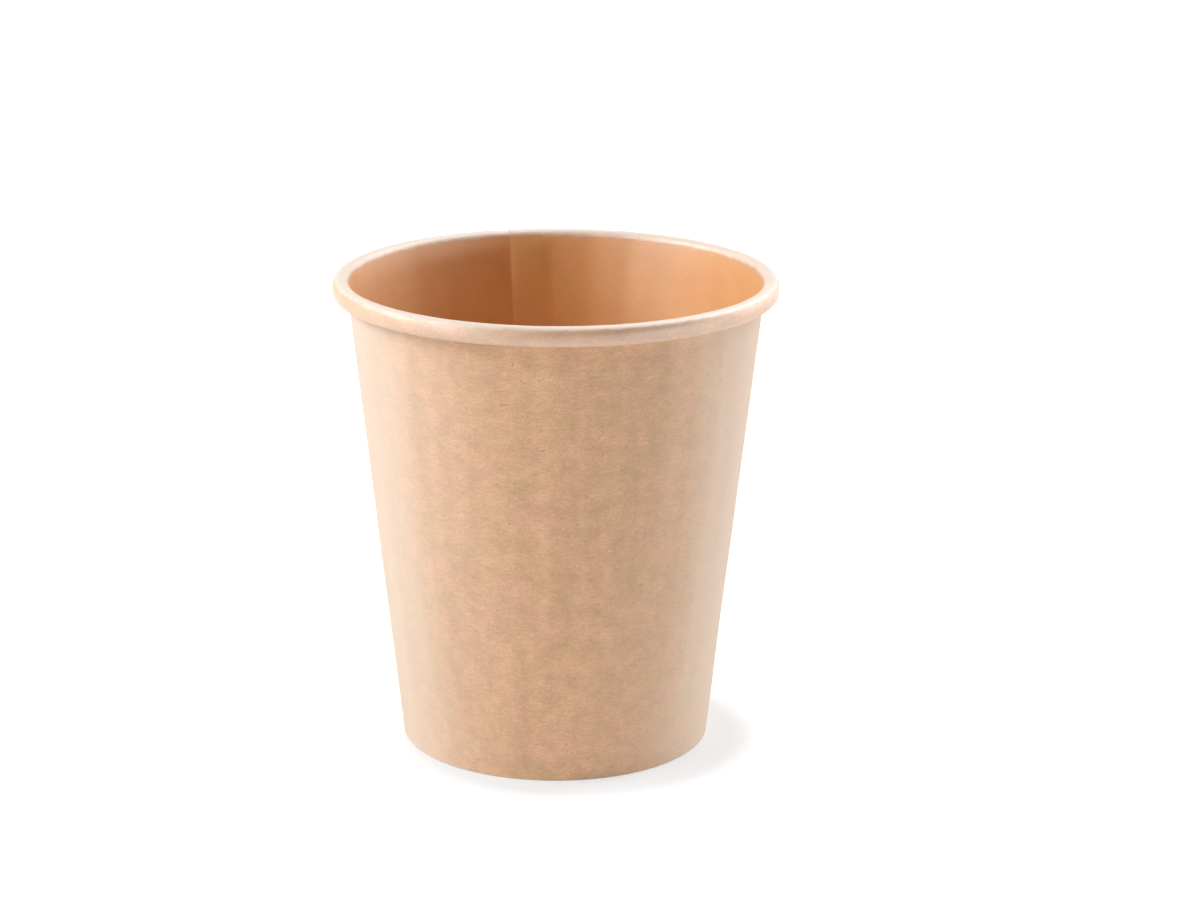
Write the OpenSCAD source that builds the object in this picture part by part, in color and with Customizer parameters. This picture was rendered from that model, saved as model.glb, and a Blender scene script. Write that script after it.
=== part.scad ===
/* [Cup] */
// Diameter over the rolled rim
rim_d = 80; // [70:1:95]
// Outer diameter of the wall where it meets the table
foot_d = 56; // [50:0.5:60]
// Height from the table to the crown of the rim
cup_h = 86; // [70:1:120]

/* [Paperboard] */
// Thickness of the side wall board
board_t = 0.38; // [0.28:0.01:0.42]
// Thickness of the bottom board
disc_t = 0.32; // [0.24:0.01:0.4]

/* [Rolled rim] */
// Radius of the crown, measured on its outer skin
crown_r = 1.39; // [1.3:0.01:1.6]
// Slope of the crown where it turns into the flatter outside of the roll, in degrees
crown_turn = 60; // [55:1:65]
// Radius of that flatter outside
belly_r = 2.2; // [2:0.05:2.4]
// Turn of the flatter outside, in degrees
belly_turn = 55; // [50:1:60]
// Height of the whole roll
curl_h = 3.5; // [3.4:0.1:4.6]
// Clearance between the inside of the roll and the lapped wall
curl_gap = 0.12; // [0.05:0.01:0.2]
// Straight rise of the tucked edge inside the roll
tuck_rise = 0.35; // [0.1:0.05:0.5]
// Turn of the tucked edge at its end, in degrees
tuck_turn = 80; // [30:5:90]
// Radius of the hollow left inside the tucked edge, at the seam
tuck_core = 0.1; // [0.05:0.01:0.2]

/* [Side seam] */
// Direction of the inner sheet's cut edge, in degrees round from +X
seam_angle = 102.4; // [80:0.1:120]
// Width of the overlap at the top, in degrees
lap_angle = 10.8; // [8:0.1:14]
// Part of the wall where the outer sheet swings out over the inner one, in degrees
swing_angle = 5; // [4:0.1:7]
// Width of the groove that the cut edge leaves over the crown, in degrees
notch_angle = 0.4; // [0.3:0.1:0.8]
// Depth of that groove
notch_depth = 0.15; // [0.05:0.01:0.2]
// Step that the inner sheet's cut edge leaves in the outer sheet
seam_mark = 0.04; // [0.03:0.005:0.08]
// Height at which the outer sheet is trimmed, clear of the crease
lap_low_z = 1.2; // [0.8:0.1:3]
// Length of wall under the crown where the outer sheet is pressed back into line
swing_top = 0.5; // [0.3:0.1:1]

/* [Foot] */
// Height of the drinking side of the bottom above the table
floor_z = 8.5; // [7:0.1:12]
// Outer radius of the corner between the bottom and its skirt
disc_corner_r = 0.8; // [0.6:0.05:1.5]
// Height of the hem that is turned up inside the skirt
hem_h = 6; // [4:0.1:6.2]
// Inner radius of the crease that the wall makes under the skirt
crease_r = 0.04; // [0.02:0.01:0.08]
// Clearance between the skirt's edge and the crease
skirt_gap = 0.12; // [0.05:0.01:0.3]
// Film of glue on each side of the skirt
glue_gap = 0.01; // [0.005:0.005:0.03]

/* [Hidden] */
$fn = 180;
kraft = [0.78, 0.62, 0.47];
kraft_inside = [0.74, 0.56, 0.4];
// Degrees of a bend between two points of the section
bend_step = 10;
rim_r = rim_d / 2;
foot_r = foot_d / 2;

// The crown's centre stands back from the rim by its radius and by the belly's bulge
belly_bulge = (belly_r - crown_r) * (1 - sin(crown_turn));
crown_out = rim_r - belly_bulge - crown_r;
// The wall is the straight line tangent to the crown that meets the table at foot_r
run_out = crown_out - foot_r;
run_up = cup_h - crown_r;
taper = acos((crown_r - board_t) / norm([run_out, run_up])) - atan2(run_up, run_out);
// Radius of the wall's inner skin, on the table and at height z
inner_foot_r = foot_r - board_t / cos(taper);
function inner_r(z) = inner_foot_r + z * tan(taper);

// Where the wall ends and the crown starts, on the inner skin
crown_start = [crown_out - crown_r * cos(taper), cup_h - crown_r * (1 - sin(taper))];
// Outer radius of the roll's lower bend, which clears both sheets of the lap
lower_turn = crown_turn + belly_turn;
belly_end = rim_r - belly_r * (1 - sin(lower_turn));
lower_r = (belly_end - crown_start[0] - 2 * board_t - curl_gap) / (1 + sin(lower_turn));
// Upright stretch on the outside of the roll, which makes up its height
crown_drop = crown_r * (1 - cos(crown_turn));
belly_drop = belly_r * (cos(crown_turn) - cos(lower_turn));
lower_drop = lower_r * (1 + cos(lower_turn));
curl_side = curl_h - crown_drop - belly_drop - lower_drop;
// Outer radius of the tucked edge, which still bends both sheets
tuck_r = 2 * board_t + tuck_core;

// Flat ring that the cup stands on, between the two corners of the crease
sole_w = (disc_t + 2 * glue_gap - 2 * crease_r) / cos(taper);
// Height at which the straight wall starts above the crease, on the inner skin
wall_start_z = board_t + crease_r * (1 - sin(taper));
wall_start = [inner_r(wall_start_z), wall_start_z];
// The hem rises from the crease to hem_h on the inner side of the skirt
hem_run = (hem_h - board_t - crease_r * (1 + sin(taper))) / cos(taper);

// A sheet's section is walked along one skin. Each step is a straight run, then a bend of
// a radius and a turn in degrees, positive to the left. The sheet lies to the right.
function ahead(h) = [cos(h), sin(h)];
function right(h) = [sin(h), -cos(h)];
function bend(p, h, r, turn) =
    let(side = sign(turn), n = ceil(abs(turn) / bend_step), centre = p - side * r * right(h))
    [for (i = [1:n]) let(g = h + turn * i / n) [centre + side * r * right(g), g]];
function walk(steps, p, h, i = 0) = i == len(steps) ? [] :
    let(
        q = p + steps[i][0] * ahead(h),
        path = concat([[q, h]], bend(q, h, steps[i][1], steps[i][2])),
        last = path[len(path) - 1]
    )
    concat(path, walk(steps, last[0], last[1], i + 1));
function trace(steps, p, h) = concat([[p, h]], walk(steps, p, h));
// The band of a traced sheet between two depths under its skin
function reverse(list) = [for (i = [len(list) - 1:-1:0]) list[i]];
function skin(path, depth) = [for (s = path) s[0] + depth * right(s[1])];
function band(path, from, to) = concat(skin(path, from), reverse(skin(path, to)));

// The rolled rim: over the crown, down the side, back under, and up inside itself
curl_steps = [
    [0, crown_r, taper - 90 - crown_turn],
    [0, belly_r, crown_turn - 90],
    [curl_side, belly_r, 90 - lower_turn],
    [0, lower_r, lower_turn - 270],
    [tuck_rise, tuck_r, -tuck_turn],
];
curl = trace(curl_steps, crown_start, 90 - taper);
// The crown with a little of the wall and of the roll's side, for the notch
notch_low = 1;
notch_steps = [[notch_low, crown_r, taper - 90 - crown_turn], [0, belly_r, (crown_turn - 90) / 2]];
notch = trace(notch_steps, crown_start - notch_low * ahead(90 - taper), 90 - taper);
// The overlap runs from just over the crease up the wall and round the roll
lap_low = [inner_r(lap_low_z), lap_low_z];
lap_path = concat([[lap_low, 90 - taper]], curl);
// The swing starts a little higher and stops under the crown, and the hollow stops lower still
swing_rise = 0.2;
swing_low = lap_low + swing_rise * ahead(90 - taper);
swing_high = crown_start - swing_top * ahead(90 - taper);
swing_path = [[swing_low, 90 - taper], [swing_high, 90 - taper]];
hollow_low = [inner_r(floor_z), floor_z];
hollow_high = crown_start - 2 * swing_top * ahead(90 - taper);
hollow_path = [[hollow_low, 90 - taper], [hollow_high, 90 - taper]];
// The hem, walked from its free edge down to the crease and round to the wall
hem_steps = [[hem_run, crease_r, 90 + taper], [sole_w, crease_r, 90 - taper]];
hem_reach = trace(hem_steps, [0, 0], 270 - taper);
hem = trace(hem_steps, wall_start - hem_reach[len(hem_reach) - 1][0], 270 - taper);
// One sheet from the hem's edge to the edge tucked in the rim
sheet = concat(hem, curl);

// The bottom's section, walked along its upper skin from the middle to the skirt's edge
corner_z = floor_z - disc_corner_r;
corner_centre_r = inner_r(corner_z) - (disc_corner_r + glue_gap) / cos(taper);
skirt_top_z = corner_z - disc_corner_r * sin(taper);
skirt_run = (skirt_top_z - board_t - skirt_gap) / cos(taper);
disc_steps = [[corner_centre_r, disc_corner_r, -90 - taper]];
disc_bend = trace(disc_steps, [0, floor_z], 0);
skirt_turn = disc_bend[len(disc_bend) - 1];
disc_path = concat(disc_bend, [[skirt_turn[0] + skirt_run * ahead(skirt_turn[1]), skirt_turn[1]]]);

module turned(section, from, angle) {
    rotate([0, 0, from])
        rotate_extrude(angle = angle)
            polygon(section);
}

// Degrees by which the solids of the seam run into one another
seam_bite = 0.3;

// The wall's inner or outer cone, shifted so that it leaves the wall at the far end of
// the swing and stands nearly one board outside it at the inner sheet's cut edge
swing_from = seam_angle + swing_angle;
swing_shift = (board_t / cos(taper) - seam_mark) / sin(swing_angle);
swing_lift = pow(swing_shift, 2) / (inner_r(0) + inner_r(cup_h));
module swung_cone(offset_r) {
    rotate([0, 0, swing_from])
        translate([swing_lift, -swing_shift, 0])
            cylinder(h = cup_h, r1 = inner_r(0) + offset_r, r2 = inner_r(cup_h) + offset_r);
}

// The overlap: a second sheet on the outside of the wall and on the inside of the roll
module lap() {
    section = band(lap_path, board_t / 2, 2 * board_t);
    turned(section, seam_angle - lap_angle, lap_angle);
}

// The outer sheet on its way from the wall's own cone to the outside of the lap
module swing() {
    section = band(swing_path, board_t / 3, 3 * board_t);
    intersection() {
        turned(section, seam_angle - seam_bite, swing_angle + 2 * seam_bite);
        swung_cone(board_t / cos(taper));
    }
}

// What that swing leaves open inside the cup, beside the inner sheet's cut edge
module swing_hollow() {
    section = band(hollow_path, -board_t, 2 * board_t);
    intersection() {
        turned(section, seam_angle, swing_angle + seam_bite);
        swung_cone(0);
    }
}

// The fine groove that the cut edge leaves over the crown
module crown_notch() {
    turned(band(notch, -notch_depth, notch_depth), seam_angle, notch_angle);
}

// One blank of board: wrapped to a cone, lapped and glued at the back, its top edge rolled
// outwards and its lower edge creased and turned up inside
module side_wall() {
    color(kraft)
        difference() {
            union() {
                turned(band(sheet, 0, board_t), 0, 360);
                lap();
                swing();
            }
            swing_hollow();
            crown_notch();
        }
}

// A round blank drawn into a shallow upside-down tray, whose skirt is caught in the hem
module bottom_disc() {
    color(kraft_inside)
        turned(band(disc_path, 0, disc_t), 0, 360);
}

side_wall();
bottom_disc();
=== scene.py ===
import math

import bmesh
import bpy
from mathutils import Matrix, Vector, noise


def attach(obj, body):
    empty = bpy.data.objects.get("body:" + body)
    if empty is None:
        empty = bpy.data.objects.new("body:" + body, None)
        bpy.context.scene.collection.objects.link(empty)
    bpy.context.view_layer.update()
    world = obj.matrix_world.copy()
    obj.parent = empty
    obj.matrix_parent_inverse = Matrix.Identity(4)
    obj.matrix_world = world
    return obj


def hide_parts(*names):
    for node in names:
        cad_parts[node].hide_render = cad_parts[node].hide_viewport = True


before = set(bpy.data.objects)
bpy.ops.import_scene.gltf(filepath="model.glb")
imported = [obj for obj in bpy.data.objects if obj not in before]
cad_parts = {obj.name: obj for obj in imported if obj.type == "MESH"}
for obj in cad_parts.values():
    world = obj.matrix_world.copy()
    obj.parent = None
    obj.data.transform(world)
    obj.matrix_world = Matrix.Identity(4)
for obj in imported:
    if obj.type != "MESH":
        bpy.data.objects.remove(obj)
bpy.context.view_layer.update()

# Side wall: one blank of bare kraft board, wrapped to a cone, lapped and glued at the back. Its
# top edge is rolled outwards into the rim, and its lower edge is creased under the skirt of the
# bottom and turned up inside it as a hem.
mm = 0.001
board = 0.38 * mm
disc_board = 0.32 * mm
rim_radius = 40 * mm
foot_radius = 28 * mm
cup_height = 86 * mm
crown_radius = 1.39 * mm
crown_turn = math.radians(60)
belly_radius = 2.2 * mm
belly_turn = math.radians(55)
roll_height = 3.5 * mm
lap_clearance = 0.12 * mm
tuck_rise = 0.35 * mm
tuck_radius = 0.86 * mm
tuck_turn = math.radians(80)
crease_radius = 0.04 * mm
hem_height = 6 * mm
glue_film = 0.01 * mm
lap_low = 1.2 * mm

# The wall is the straight line that meets the table at the foot and the roll at its crown
taper = 0.0
for _ in range(10):
    belly_bulge = (belly_radius - crown_radius) * (1 - math.sin(crown_turn))
    crown_foot = rim_radius - belly_bulge - crown_radius * (1 + math.cos(taper))
    crown_base = cup_height - crown_radius * (1 - math.sin(taper))
    taper = math.atan2(crown_foot - foot_radius + board / math.cos(taper), crown_base)
inner_foot_radius = foot_radius - board / math.cos(taper)
# The roll's under side clears both sheets of the lap, and a short upright makes up its height
under_turn = crown_turn + belly_turn
belly_foot = rim_radius - belly_radius * (1 - math.sin(under_turn))
under_radius = (belly_foot - crown_foot - 2 * board - lap_clearance) / (1 + math.sin(under_turn))
roll_upright = roll_height - crown_radius * (1 - math.cos(crown_turn))
roll_upright -= belly_radius * (math.cos(crown_turn) - math.cos(under_turn))
roll_upright -= under_radius * (1 + math.cos(under_turn))


def inner_radius(z):
    """Radius of the drinking side of the wall at height z."""
    return inner_foot_radius + z * math.tan(taper)


def start_section(name, r, z):
    """Starts a new piece as one point of its section, in the XZ plane, and keeps it selected."""
    bpy.ops.object.select_all(action="DESELECT")
    bpy.ops.mesh.primitive_plane_add(size=mm, location=(0, 0, 0))
    piece = bpy.context.object
    piece.name = name
    piece.data.name = name
    bpy.ops.object.mode_set(mode="EDIT")
    bpy.ops.mesh.select_mode(type="VERT")
    bpy.ops.mesh.select_all(action="SELECT")
    bpy.ops.mesh.merge(type="CENTER")
    bpy.ops.transform.translate(value=(r, 0, z))
    return piece


def straight_on(pen, length, pieces):
    """Extrudes the end of the section straight ahead. pen holds its place and heading."""
    step = length / pieces * Vector((math.cos(pen["heading"]), 0, math.sin(pen["heading"])))
    for _ in range(pieces):
        bpy.ops.mesh.extrude_region_move(TRANSFORM_OT_translate={"value": step})
        pen["at"] = pen["at"] + step


def bend_on(pen, radius, turn, pieces):
    """Spins the end of the section round a bend. A positive turn is to the left."""
    side = math.copysign(1, turn)
    left = Vector((-math.sin(pen["heading"]), 0, math.cos(pen["heading"])))
    centre = pen["at"] + side * radius * left
    bpy.ops.mesh.spin(steps=pieces, angle=turn, center=centre, axis=(0, 1, 0))
    pen["heading"] += turn
    left = Vector((-math.sin(pen["heading"]), 0, math.cos(pen["heading"])))
    pen["at"] = centre - side * radius * left


wall_low = board + crease_radius * (1 - math.sin(taper))
sole_width = (disc_board + 2 * glue_film - 2 * crease_radius) / math.cos(taper)
hem_run = (hem_height - board - crease_radius * (1 + math.sin(taper))) / math.cos(taper)
wall_run = (crown_base - wall_low) / math.cos(taper)
down = math.radians(270) - taper


def bend_reach(radius, heading, turn):
    """How far a bend to the left carries the section."""
    return radius * Vector((math.sin(heading + turn) - math.sin(heading), 0,
                            math.cos(heading) - math.cos(heading + turn)))


# The hem's free edge, found by going back from the foot of the wall round the crease
hem_edge = Vector((inner_radius(wall_low), 0, wall_low))
hem_edge -= bend_reach(crease_radius, 0, math.pi / 2 - taper)
hem_edge -= Vector((sole_width, 0, 0))
hem_edge -= bend_reach(crease_radius, down, math.pi / 2 + taper)
hem_edge -= hem_run * Vector((math.cos(down), 0, math.sin(down)))

side = start_section("side_wall_board", hem_edge.x, hem_edge.z)
pen = {"at": hem_edge.copy(), "heading": down}
straight_on(pen, hem_run, 3)
bend_on(pen, crease_radius, math.pi / 2 + taper, 6)
straight_on(pen, sole_width, 1)
bend_on(pen, crease_radius, math.pi / 2 - taper, 6)
wall_begins = hem_run + sole_width + crease_radius * math.pi
wall_ends = wall_begins + wall_run
straight_on(pen, (lap_low - wall_low) / math.cos(taper), 1)
straight_on(pen, wall_run - (lap_low - wall_low) / math.cos(taper), 42)
bend_on(pen, crown_radius, taper - math.pi / 2 - crown_turn, 24)
bend_on(pen, belly_radius, crown_turn - math.pi / 2, 8)
straight_on(pen, roll_upright, 1)
bend_on(pen, belly_radius, math.pi / 2 - under_turn, 6)
bend_on(pen, under_radius, under_turn - 1.5 * math.pi, 14)
straight_on(pen, tuck_rise, 1)
bend_on(pen, tuck_radius, -tuck_turn, 5)
bpy.ops.object.mode_set(mode="OBJECT")

# How far along the blank each point of the section lies. The spins below carry it round.
along = side.data.attributes.new("along", "FLOAT", "POINT")
walked = 0.0
for edge in side.data.edges:
    a, b = (side.data.vertices[k].co for k in edge.vertices)
    walked += (b - a).length
    along.data[max(edge.vertices)].value = walked

seam_azimuth = math.radians(103.6)
lap_turn = math.radians(11.7)
swing_turn = math.radians(5)
lap_steps = 9
swing_steps = 5
single_steps = 286
bpy.ops.object.mode_set(mode="EDIT")
bpy.ops.mesh.select_all(action="SELECT")
bpy.ops.mesh.spin(steps=1, angle=-seam_azimuth, center=(0, 0, 0), axis=(0, 0, 1), dupli=True)
bpy.ops.mesh.select_all(action="INVERT")
bpy.ops.mesh.delete(type="VERT")
bpy.ops.mesh.select_all(action="SELECT")
section_points = len(bmesh.from_edit_mesh(side.data).verts)


def wrap_on(turn, steps):
    """Carries the selected edge of the sheet round the axis, clockwise as seen from above."""
    bpy.ops.mesh.spin(steps=steps, angle=turn, center=(0, 0, 0), axis=(0, 0, 1))


def keep_selected(piece, wanted):
    """Deselects the selected points whose place isn't wanted."""
    work = bmesh.from_edit_mesh(piece.data)
    for point in work.verts:
        if point.select and not wanted(point.co):
            point.select = False
    work.select_flush_mode()
    bmesh.update_edit_mesh(piece.data)


def above_crease(place):
    """True on the wall and the roll, from the height where the overlap is trimmed."""
    spare = 0.1 * mm
    on_skin = math.hypot(place.x, place.y) > inner_radius(place.z) - spare
    return on_skin and place.z > lap_low - spare


# The inner end of the blank comes first, then the single wall, and then the outer end, which
# swings out over the inner one
wrap_on(lap_turn, lap_steps)
wrap_on(2 * math.pi - lap_turn - swing_turn, single_steps)
for _ in range(swing_steps):
    wrap_on(swing_turn / swing_steps, 1)
    whole_edge = [v.select for v in bmesh.from_edit_mesh(side.data).verts]
    keep_selected(side, above_crease)
    bpy.ops.transform.shrink_fatten(value=(board + glue_film) / swing_steps)
    work = bmesh.from_edit_mesh(side.data)
    for point, was in zip(work.verts, whole_edge):
        point.select = was
    work.select_flush_mode()
    bmesh.update_edit_mesh(side.data)
single_points = len(bmesh.from_edit_mesh(side.data).verts)
keep_selected(side, above_crease)
wrap_on(lap_turn, lap_steps)
bpy.ops.mesh.select_all(action="SELECT")
bpy.ops.mesh.flip_normals()
bpy.ops.object.mode_set(mode="OBJECT")


def ease(x, start, end):
    """0 before start, 1 after end, and smooth between them."""
    t = min(1.0, max(0.0, (x - start) / (end - start)))
    return t * t * (3 - 2 * t)


def apply_modifiers(piece):
    """Makes the piece's modifiers part of its mesh, in their order."""
    bpy.context.view_layer.objects.active = piece
    for modifier in list(piece.modifiers):
        bpy.ops.object.modifier_apply(modifier=modifier.name)


def displace(piece, name, group, strength, grain=None):
    """Moves the points of a vertex group along their normals, by a cloud texture or evenly."""
    modifier = piece.modifiers.new(name, "DISPLACE")
    modifier.vertex_group = group
    modifier.direction = "NORMAL"
    modifier.strength = strength
    modifier.mid_level = 0.0
    if grain:
        clouds = bpy.data.textures.new(name, "CLOUDS")
        clouds.noise_scale = grain
        clouds.noise_depth = 2
        modifier.texture = clouds
        modifier.texture_coords = "LOCAL"
        modifier.mid_level = 0.5


# The seam is pressed past flat, and the roll is squeezed there to half a board's step. The wall
# isn't quite round and has fine upright bends from its wrapping. The roll has fine ripples and
# one crease below its crown.
pressing = 2.2
wrapped_radius = 34 * mm
streak_width = 5 * mm
streak_length = 60 * mm
crown_ends = wall_ends + crown_radius * (math.pi / 2 + crown_turn - taper)
names = ("press", "wave", "streaks", "ripple", "crease", "squeeze")
groups = {name: side.vertex_groups.new(name=name) for name in names}
marks = [value.value for value in side.data.attributes["along"].data]
for v, mark in zip(side.data.vertices, marks):
    past_edge = (seam_azimuth - math.atan2(v.co.y, v.co.x)) % (2 * math.pi)
    on_wall = ease(mark, wall_begins + 8.5 * mm, wall_begins + 18 * mm)
    on_wall *= 1 - ease(mark, wall_ends - 2 * mm, wall_ends)
    groups["wave"].add([v.index], on_wall, "REPLACE")
    streak = noise.noise(Vector((past_edge * wrapped_radius / streak_width, v.co.z / streak_length, 0.7)))
    groups["streaks"].add([v.index], on_wall * min(1.0, max(0.0, 0.5 + streak)), "REPLACE")
    if past_edge < lap_turn and mark > wall_begins:
        chord = math.cos(lap_turn / 2) / math.cos(past_edge - lap_turn / 2)
        press = pressing * (1 - chord) * math.hypot(v.co.x, v.co.y) * on_wall
        groups["press"].add([v.index], press / mm, "REPLACE")
    swung = 1.0 if v.index >= single_points else max(0.0, 1 - (2 * math.pi - past_edge) / swing_turn)
    # The inner sheet's edge, the first or second section of the mesh, isn't squeezed
    if v.index >= 2 * section_points:
        groups["squeeze"].add([v.index], swung * ease(mark, wall_ends - 8 * mm, wall_ends), "REPLACE")
    groups["ripple"].add([v.index], ease(mark, wall_ends - 1 * mm, wall_ends + 1 * mm), "REPLACE")
    groups["crease"].add([v.index], max(0.0, 1 - abs(mark - crown_ends) / (0.3 * mm)), "REPLACE")
displace(side, "seam press", "press", mm)
displace(side, "roll squeeze", "squeeze", 0.22 * mm)
displace(side, "wall wave", "wave", 0.3 * mm, 26 * mm)
displace(side, "wall streaks", "streaks", 0.2 * mm)
displace(side, "roll ripple", "ripple", 0.1 * mm, 3.5 * mm)
displace(side, "roll crease", "crease", -0.25 * mm, 5 * mm)


def add_node(tree, kind, inputs=None, **settings):
    """Adds a shader node with its settings, and links or sets its inputs."""
    made = tree.nodes.new("ShaderNode" + kind)
    for name, value in settings.items():
        setattr(made, name, value)
    for name, value in (inputs or {}).items():
        if isinstance(value, bpy.types.NodeSocket):
            tree.links.new(value, made.inputs[name])
        else:
            made.inputs[name].default_value = value
    return made


def blend_colour(tree, share, first, second, mode="MIX"):
    """Mixes two colours by a share, and returns the colour."""
    made = tree.nodes.new("ShaderNodeMix")
    made.data_type = "RGBA"
    made.blend_type = mode
    for socket, value in ((made.inputs[0], share), (made.inputs[6], first), (made.inputs[7], second)):
        if isinstance(value, bpy.types.NodeSocket):
            tree.links.new(value, socket)
        else:
            socket.default_value = value
    return made.outputs[2]


def spread(tree, value, low, high, to_low=0.0, to_high=1.0):
    """Spreads the range low to high of a value over another range, smoothly."""
    made = add_node(tree, "MapRange", {"Value": value, "From Min": low, "From Max": high,
                                       "To Min": to_low, "To Max": to_high})
    made.interpolation_type = "SMOOTHSTEP"
    return made.outputs[0]


def combine(tree, operation, first, second):
    """Joins two values by a sum, a product or another operation, and returns the result."""
    return add_node(tree, "Math", {0: first, 1: second}, operation=operation).outputs[0]


def lay_out(tree, place, shape=(1, 1, 1), shift=0.0):
    """Stretches a pattern's coordinates, and shifts them so that no two patterns are alike."""
    return add_node(tree, "Mapping", {"Vector": place, "Scale": shape, "Location": (0, 0, shift)}).outputs[0]


def clouds(tree, place, size, detail=2.0, rough=0.5, warp=0.0):
    """Cloudy values whose features are about this large."""
    inputs = {"Vector": place, "Scale": 1 / size, "Detail": detail, "Roughness": rough, "Distortion": warp}
    return add_node(tree, "TexNoise", inputs).outputs[0]


def flecks(tree, place, size, share):
    """Crisp separate specks, one in each of this share of cells of this size."""
    cells = add_node(tree, "TexVoronoi", {"Vector": place, "Scale": 1 / size})
    speck = spread(tree, cells.outputs["Distance"], 0.06, 0.24, 1.0, 0.0)
    pick = add_node(tree, "SeparateXYZ", {"Vector": cells.outputs["Color"]}).outputs[0]
    return combine(tree, "MULTIPLY", speck, spread(tree, pick, 1 - share, 1.05 - share))


def on_the_blank(tree, place):
    """Coordinates on the flat side wall blank: round the cup from the seam, and along its section."""
    turned = add_node(tree, "Mapping", {"Vector": place, "Rotation": (0, 0, math.pi - seam_azimuth)})
    parts = add_node(tree, "SeparateXYZ", {"Vector": turned.outputs[0]})
    angle = combine(tree, "ARCTAN2", parts.outputs["Y"], parts.outputs["X"])
    arc = combine(tree, "MULTIPLY", angle, wrapped_radius)
    path = add_node(tree, "Attribute", attribute_name="along").outputs["Fac"]
    return add_node(tree, "CombineXYZ", {"X": arc, "Y": path}).outputs[0], path


def rolled_film(tree, colour, tone, flat, path):
    """The roll's film gets a paler, paper-like tone, partly the stretched film's own and partly painted
    light: the beige it takes in direct light beside the shaded orange of the drinking side. A painted
    highlight whitens it most over the crown.
    """
    uneven = clouds(tree, lay_out(tree, flat, shift=0.8), 2 * mm, 3)
    reached = combine(tree, "ADD", path, spread(tree, uneven, 0.3, 0.7, -0.2 * mm, 0.2 * mm))
    # Painted light in part: over the roll the film takes the paler beige it shows in direct light, not the
    # shaded orange of the drinking side
    rolled = spread(tree, reached, wall_ends - 0.6 * mm, wall_ends + 0.6 * mm, 0.0, 0.9)
    toned = blend_colour(tree, 1.0, (0.64, 0.37, 0.21, 1), tone, "MULTIPLY")
    colour = blend_colour(tree, rolled, colour, toned)
    # Painted highlight: the crown, the top of the roll, is whitened towards pale cream
    over = spread(tree, reached, wall_ends - 0.1 * mm, wall_ends + 1.1 * mm)
    past = spread(tree, reached, crown_ends - 0.6 * mm, crown_ends + 0.1 * mm, 1.0, 0.0)
    painted_crown_highlight_share = combine(tree, "MULTIPLY", combine(tree, "MULTIPLY", over, past), 0.8)
    return blend_colour(tree, painted_crown_highlight_share, colour, (0.80, 0.67, 0.55, 1))


# Cell size, share of cells, stretch, shift, depth and colour of the dark, pale and long flecks
kraft_flecks = (
    (1.1 * mm, 0.20, (0.7, 1.6, 1), 0.4, 0.6, (0.34, 0.21, 0.12, 1)),
    (1.0 * mm, 0.18, (0.7, 1.6, 1), 0.5, 0.5, (0.95, 0.74, 0.54, 1)),
    (2.2 * mm, 0.24, (0.45, 2.4, 1), 0.6, 0.4, (0.38, 0.23, 0.13, 1)),
)


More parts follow.
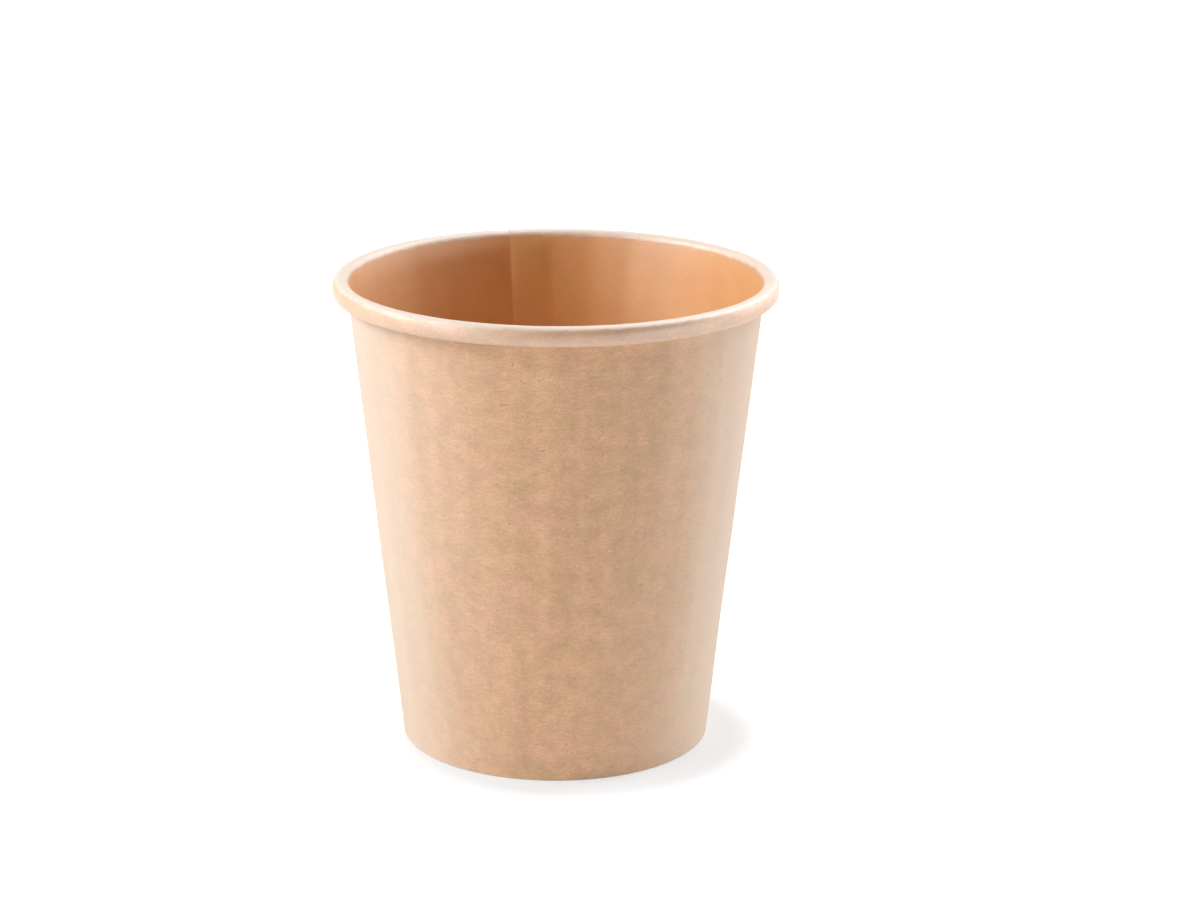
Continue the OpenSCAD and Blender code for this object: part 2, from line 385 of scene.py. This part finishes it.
def kraft_paper(name, pink, olive, film=False, blank=True, seed=0.0):
    """Unbleached kraft board, coated or bare: cloudy pink and olive tones, fibres and flecks."""
    material = bpy.data.materials.new(name)
    material.use_nodes = True
    tree = material.node_tree
    shader = tree.nodes["Principled BSDF"]
    place = add_node(tree, "TexCoord").outputs["Object"]
    if blank:
        place, path = on_the_blank(tree, place)
    flat = lay_out(tree, place, shift=seed)
    # Fibres lie every way, so the fine patterns use a bent copy of the coordinates
    inputs = {"Vector": flat, "Scale": 1 / (1.6 * mm), "Detail": 1.0}
    drift = add_node(tree, "TexNoise", inputs).outputs["Color"]
    inputs = {0: drift, 1: (1.5 * mm, 1.5 * mm, 0)}
    drift = add_node(tree, "VectorMath", inputs, operation="MULTIPLY").outputs[0]
    bent = add_node(tree, "VectorMath", {0: flat, 1: drift}, operation="ADD").outputs[0]
    patches = clouds(tree, lay_out(tree, flat), 8 * mm, 2, warp=0.4)
    colour = blend_colour(tree, spread(tree, patches, 0.36, 0.64), pink, olive)
    shade = clouds(tree, lay_out(tree, flat, (1, 1.2, 1), 0.1), 4 * mm, 5, rough=0.62)
    upright = clouds(tree, lay_out(tree, flat, (1, 0.06, 1), 0.7), 3 * mm, 2)
    grain = clouds(tree, lay_out(tree, flat, shift=0.2), 0.4 * mm, 4, rough=0.7)
    fibres = clouds(tree, lay_out(tree, bent, (0.22, 1, 1), 0.3), 0.35 * mm, 3)
    grain = spread(tree, grain, 0.25, 0.75, 0.88, 1.12)
    fibres = spread(tree, fibres, 0.35, 0.7, 0.94, 1.06)
    tone = combine(tree, "MULTIPLY", spread(tree, shade, 0.3, 0.7, 0.91, 1.09),
                   spread(tree, upright, 0.3, 0.7, 0.965, 1.035))
    tone = combine(tree, "MULTIPLY", combine(tree, "MULTIPLY", tone, grain), fibres)
    tone = add_node(tree, "CombineXYZ", {"X": tone, "Y": tone, "Z": tone}).outputs[0]
    colour = blend_colour(tree, 0.35 if film else 1.0, colour, tone, "MULTIPLY")
    for size, share, shape, shift, depth, fleck_colour in kraft_flecks:
        specks = flecks(tree, lay_out(tree, bent, shape, shift), size, share)
        shown = combine(tree, "MULTIPLY", specks, depth * (0.15 if film else 1))
        colour = blend_colour(tree, shown, colour, fleck_colour)
    if film and blank:
        colour = rolled_film(tree, colour, tone, flat, path)
    if not film:
        # Painted sheen: the base colour turns pale towards a glancing look, standing for the sheen of the
        # bare side's loose fibres
        glance = add_node(tree, "LayerWeight", {"Blend": 0.5}).outputs["Facing"]
        pale = spread(tree, glance, -0.05, 0.75, 0.0, 0.83)
        colour = blend_colour(tree, pale, colour, (0.72, 0.60, 0.50, 1))
    tree.links.new(colour, shader.inputs["Base Color"])
    inputs = {"Height": combine(tree, "ADD", grain, fibres), "Strength": 0.12 if film else 0.35,
              "Distance": 0.12 * mm}
    tree.links.new(add_node(tree, "Bump", inputs).outputs[0], shader.inputs["Normal"])
    for socket, bare_value, film_value in (
            ("Roughness", 0.8, 0.45), ("Specular IOR Level", 0.1, 0.5), ("Coat Weight", 0.0, 1.0),
            ("Coat Roughness", 0.5, 0.6), ("Coat IOR", 1.5, 2.5)):
        shader.inputs[socket].default_value = film_value if film else bare_value
    return material


# The film side's deep orange, more saturated than the board's own tone, is partly painted shade: it stands
# for the colour the drinking side takes in the shade inside the cup
kraft_film = kraft_paper("kraft_film_side", (0.750, 0.340, 0.076, 1), (0.730, 0.348, 0.072, 1),
                         film=True, seed=0.3)
kraft_bare = kraft_paper("kraft_bare_side", (0.735, 0.432, 0.262, 1), (0.700, 0.432, 0.244, 1))
kraft_cut = kraft_paper("kraft_cut_edge", (0.78, 0.46, 0.26, 1), (0.75, 0.46, 0.26, 1), seed=0.6)
for material in (kraft_film, kraft_bare, kraft_cut):
    side.data.materials.append(material)
# The film side is the skin that was walked, and the bare side and the cut edges come with the board
thickness = side.modifiers.new("board", "SOLIDIFY")
thickness.thickness = board
thickness.offset = -1
thickness.use_even_offset = True
thickness.material_offset = 1
thickness.material_offset_rim = 2
apply_modifiers(side)
bpy.ops.object.shade_smooth_by_angle(angle=math.radians(40))
side.vertex_groups.clear()
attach(side, "root")
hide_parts("side_wall")

# Bottom: one round blank of thinner kraft board, drawn into a shallow upside-down tray. Its skirt
# stands between the wall and the hem, glued to both, so the flat bottom is clear of the table.
floor_height = 8.5 * mm
corner_radius = 0.8 * mm
skirt_clearance = 0.12 * mm
corner_height = floor_height - corner_radius
corner_centre = inner_radius(corner_height) - (corner_radius + glue_film) / math.cos(taper)
skirt_run = (corner_height - corner_radius * math.sin(taper) - board - skirt_clearance) / math.cos(taper)
bottom = start_section("bottom_board", 0, floor_height)
pen = {"at": Vector((0, 0, floor_height)), "heading": 0}
straight_on(pen, corner_centre, 24)
bend_on(pen, corner_radius, -math.pi / 2 - taper, 10)
straight_on(pen, skirt_run, 4)
bpy.ops.mesh.select_all(action="SELECT")
wrap_on(2 * math.pi, 180)
bpy.ops.mesh.select_all(action="SELECT")
bpy.ops.mesh.remove_doubles(threshold=0.002 * mm)
bpy.ops.object.mode_set(mode="OBJECT")
sag = bottom.vertex_groups.new(name="sag")
for v in bottom.data.vertices:
    sag.add([v.index], 1 - ease(math.hypot(v.co.x, v.co.y), 18 * mm, corner_centre), "REPLACE")
displace(bottom, "bottom wave", "sag", 0.5 * mm, 17 * mm)
up = sum(p.normal.z * p.area for p in bottom.data.polygons)
if up < 0:
    bottom.data.flip_normals()
# The bottom's film side has the same deep orange, partly painted shade for the inside of the cup
bottom_film = kraft_paper("bottom_film_side", (0.740, 0.336, 0.075, 1), (0.720, 0.344, 0.071, 1),
                          film=True, blank=False, seed=0.9)
bottom_bare = kraft_paper("bottom_bare_side", (0.725, 0.427, 0.260, 1), (0.690, 0.427, 0.241, 1),
                          blank=False, seed=1.2)
for material in (bottom_film, bottom_bare, kraft_cut):
    bottom.data.materials.append(material)
thickness = bottom.modifiers.new("board", "SOLIDIFY")
thickness.thickness = disc_board
thickness.offset = -1
thickness.use_even_offset = True
thickness.material_offset = 1
thickness.material_offset_rim = 2
apply_modifiers(bottom)
bpy.ops.object.shade_smooth_by_angle(angle=math.radians(40))
bottom.vertex_groups.clear()
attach(bottom, "root")
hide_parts("bottom_disc")

# Table: a plain pale sheet under the cup, which takes its shadow and lights the cup as pale paper does. To
# the camera and in mirrored rays it is lifted to white a little away from the foot, which paints the shadow
# out there; the lift is weaker round a middle shifted right and front of the foot, so the shadow shows only
# there.
bpy.ops.object.select_all(action="DESELECT")
bpy.ops.mesh.primitive_plane_add(size=6, location=(0, 0, 0))
table = bpy.context.object
table.name = "table"
white_sheet = bpy.data.materials.new("white_sheet")
white_sheet.use_nodes = True
tree = white_sheet.node_tree
sheet = tree.nodes["Principled BSDF"]
sheet.inputs["Roughness"].default_value = 0.9
sheet.inputs["Specular IOR Level"].default_value = 0.0
sheet.inputs["Emission Color"].default_value = (1, 1, 1, 1)
ray = add_node(tree, "LightPath")
seen = combine(tree, "MAXIMUM", ray.outputs["Is Camera Ray"], ray.outputs["Is Glossy Ray"])
seen = combine(tree, "MAXIMUM", seen, ray.outputs["Is Transmission Ray"])
shown = blend_colour(tree, seen, (0.88, 0.88, 0.88, 1), (0.32, 0.32, 0.32, 1))
place = add_node(tree, "TexCoord").outputs["Object"]
# The shadow is left to show only round this middle; further away the lift paints it out to white
shadow_middle = (4 * mm, -4 * mm, 0)
away = add_node(tree, "VectorMath", {0: place, 1: shadow_middle}, operation="DISTANCE").outputs["Value"]
lift_painting_out_shadow = spread(tree, away, foot_radius, foot_radius + 11 * mm, 0.6, 1.0)
tree.links.new(shown, sheet.inputs["Base Color"])
tree.links.new(combine(tree, "MULTIPLY", seen, lift_painting_out_shadow), sheet.inputs["Emission Strength"])
table.data.materials.append(white_sheet)

# Backdrop: white to the camera and in see-through rays. Only what lies behind the cup is white in
# mirrored rays, so that the shaded drinking side stays brown.
world = bpy.data.worlds.new("studio")
bpy.context.scene.world = world
world.use_nodes = True
tree = world.node_tree
tree.nodes.clear()
ray = add_node(tree, "LightPath")
towards = add_node(tree, "SeparateXYZ", {"Vector": add_node(tree, "TexCoord").outputs["Generated"]})
behind = spread(tree, towards.outputs["Y"], -0.1, 0.4)
mirrored = combine(tree, "MULTIPLY", ray.outputs["Is Glossy Ray"], behind)
seen = combine(tree, "MAXIMUM", ray.outputs["Is Camera Ray"], mirrored)
seen = combine(tree, "MAXIMUM", seen, ray.outputs["Is Transmission Ray"])
backdrop = add_node(tree, "Background", {"Color": (1, 1, 1, 1), "Strength": seen})
add_node(tree, "OutputWorld", {"Surface": backdrop.outputs[0]})

# Light: soft lamps one metre from the cup. The left ones light the wall's left side and the right
# half of the drinking side, and the right rear ones the rest of it. Each has its azimuth from +X
# and its elevation in degrees, its width and height in metres, and its power in watts.
aim = Vector((0, 0, 45 * mm))
lamps = {
    "left_softbox": (180, 38, (0.5, 0.45), 5.8),
    "right_rear_softbox": (30, 38, (0.5, 0.45), 4.35),
    "left_front_softbox": (210, 38, (0.5, 0.45), 2.75),
    "right_front_strip": (330, 5.5, (0.5, 0.12), 2.75),
    "left_front_low_softbox": (210, 13, (0.5, 0.34), 2.66),
    "right_side_high_softbox": (45, 66, (0.5, 0.5), 2.46),
    "right_rear_low_softbox": (30, 13, (0.5, 0.34), 1.40),
    "right_low_softbox": (0, 13, (0.5, 0.34), 0.60),
}
for name, (azimuth, elevation, size, watts) in lamps.items():
    lamp = bpy.data.lights.new(name, "AREA")
    lamp.shape = "RECTANGLE"
    lamp.size, lamp.size_y = size
    lamp.energy = watts
    holder = bpy.data.objects.new(name, lamp)
    across, up = math.radians(azimuth), math.radians(elevation)
    holder.location = (math.cos(across) * math.cos(up), math.sin(across) * math.cos(up), math.sin(up))
    holder.visible_camera = False
    holder.rotation_euler = (aim - holder.location).to_track_quat("-Z", "Y").to_euler()
    bpy.context.scene.collection.objects.link(holder)

# Camera: a long lens about 60 cm away, looking down at about 16 degrees over the rim, which is
# the photograph's angle.
eye = bpy.data.cameras.new("camera")
eye.sensor_width = 36
eye.lens = 98.38
camera = bpy.data.objects.new("camera", eye)
camera.location = (0.0018, -0.5725, 0.2189)
turn = Matrix.Rotation(math.radians(-0.622), 4, "Z") @ Matrix.Rotation(math.radians(90 - 16.13), 4, "X")
camera.rotation_euler = (turn @ Matrix.Rotation(math.radians(0.349), 4, "Z")).to_euler()
bpy.context.scene.collection.objects.link(camera)
bpy.context.scene.camera = camera
bpy.context.scene.view_settings.view_transform = "Standard"
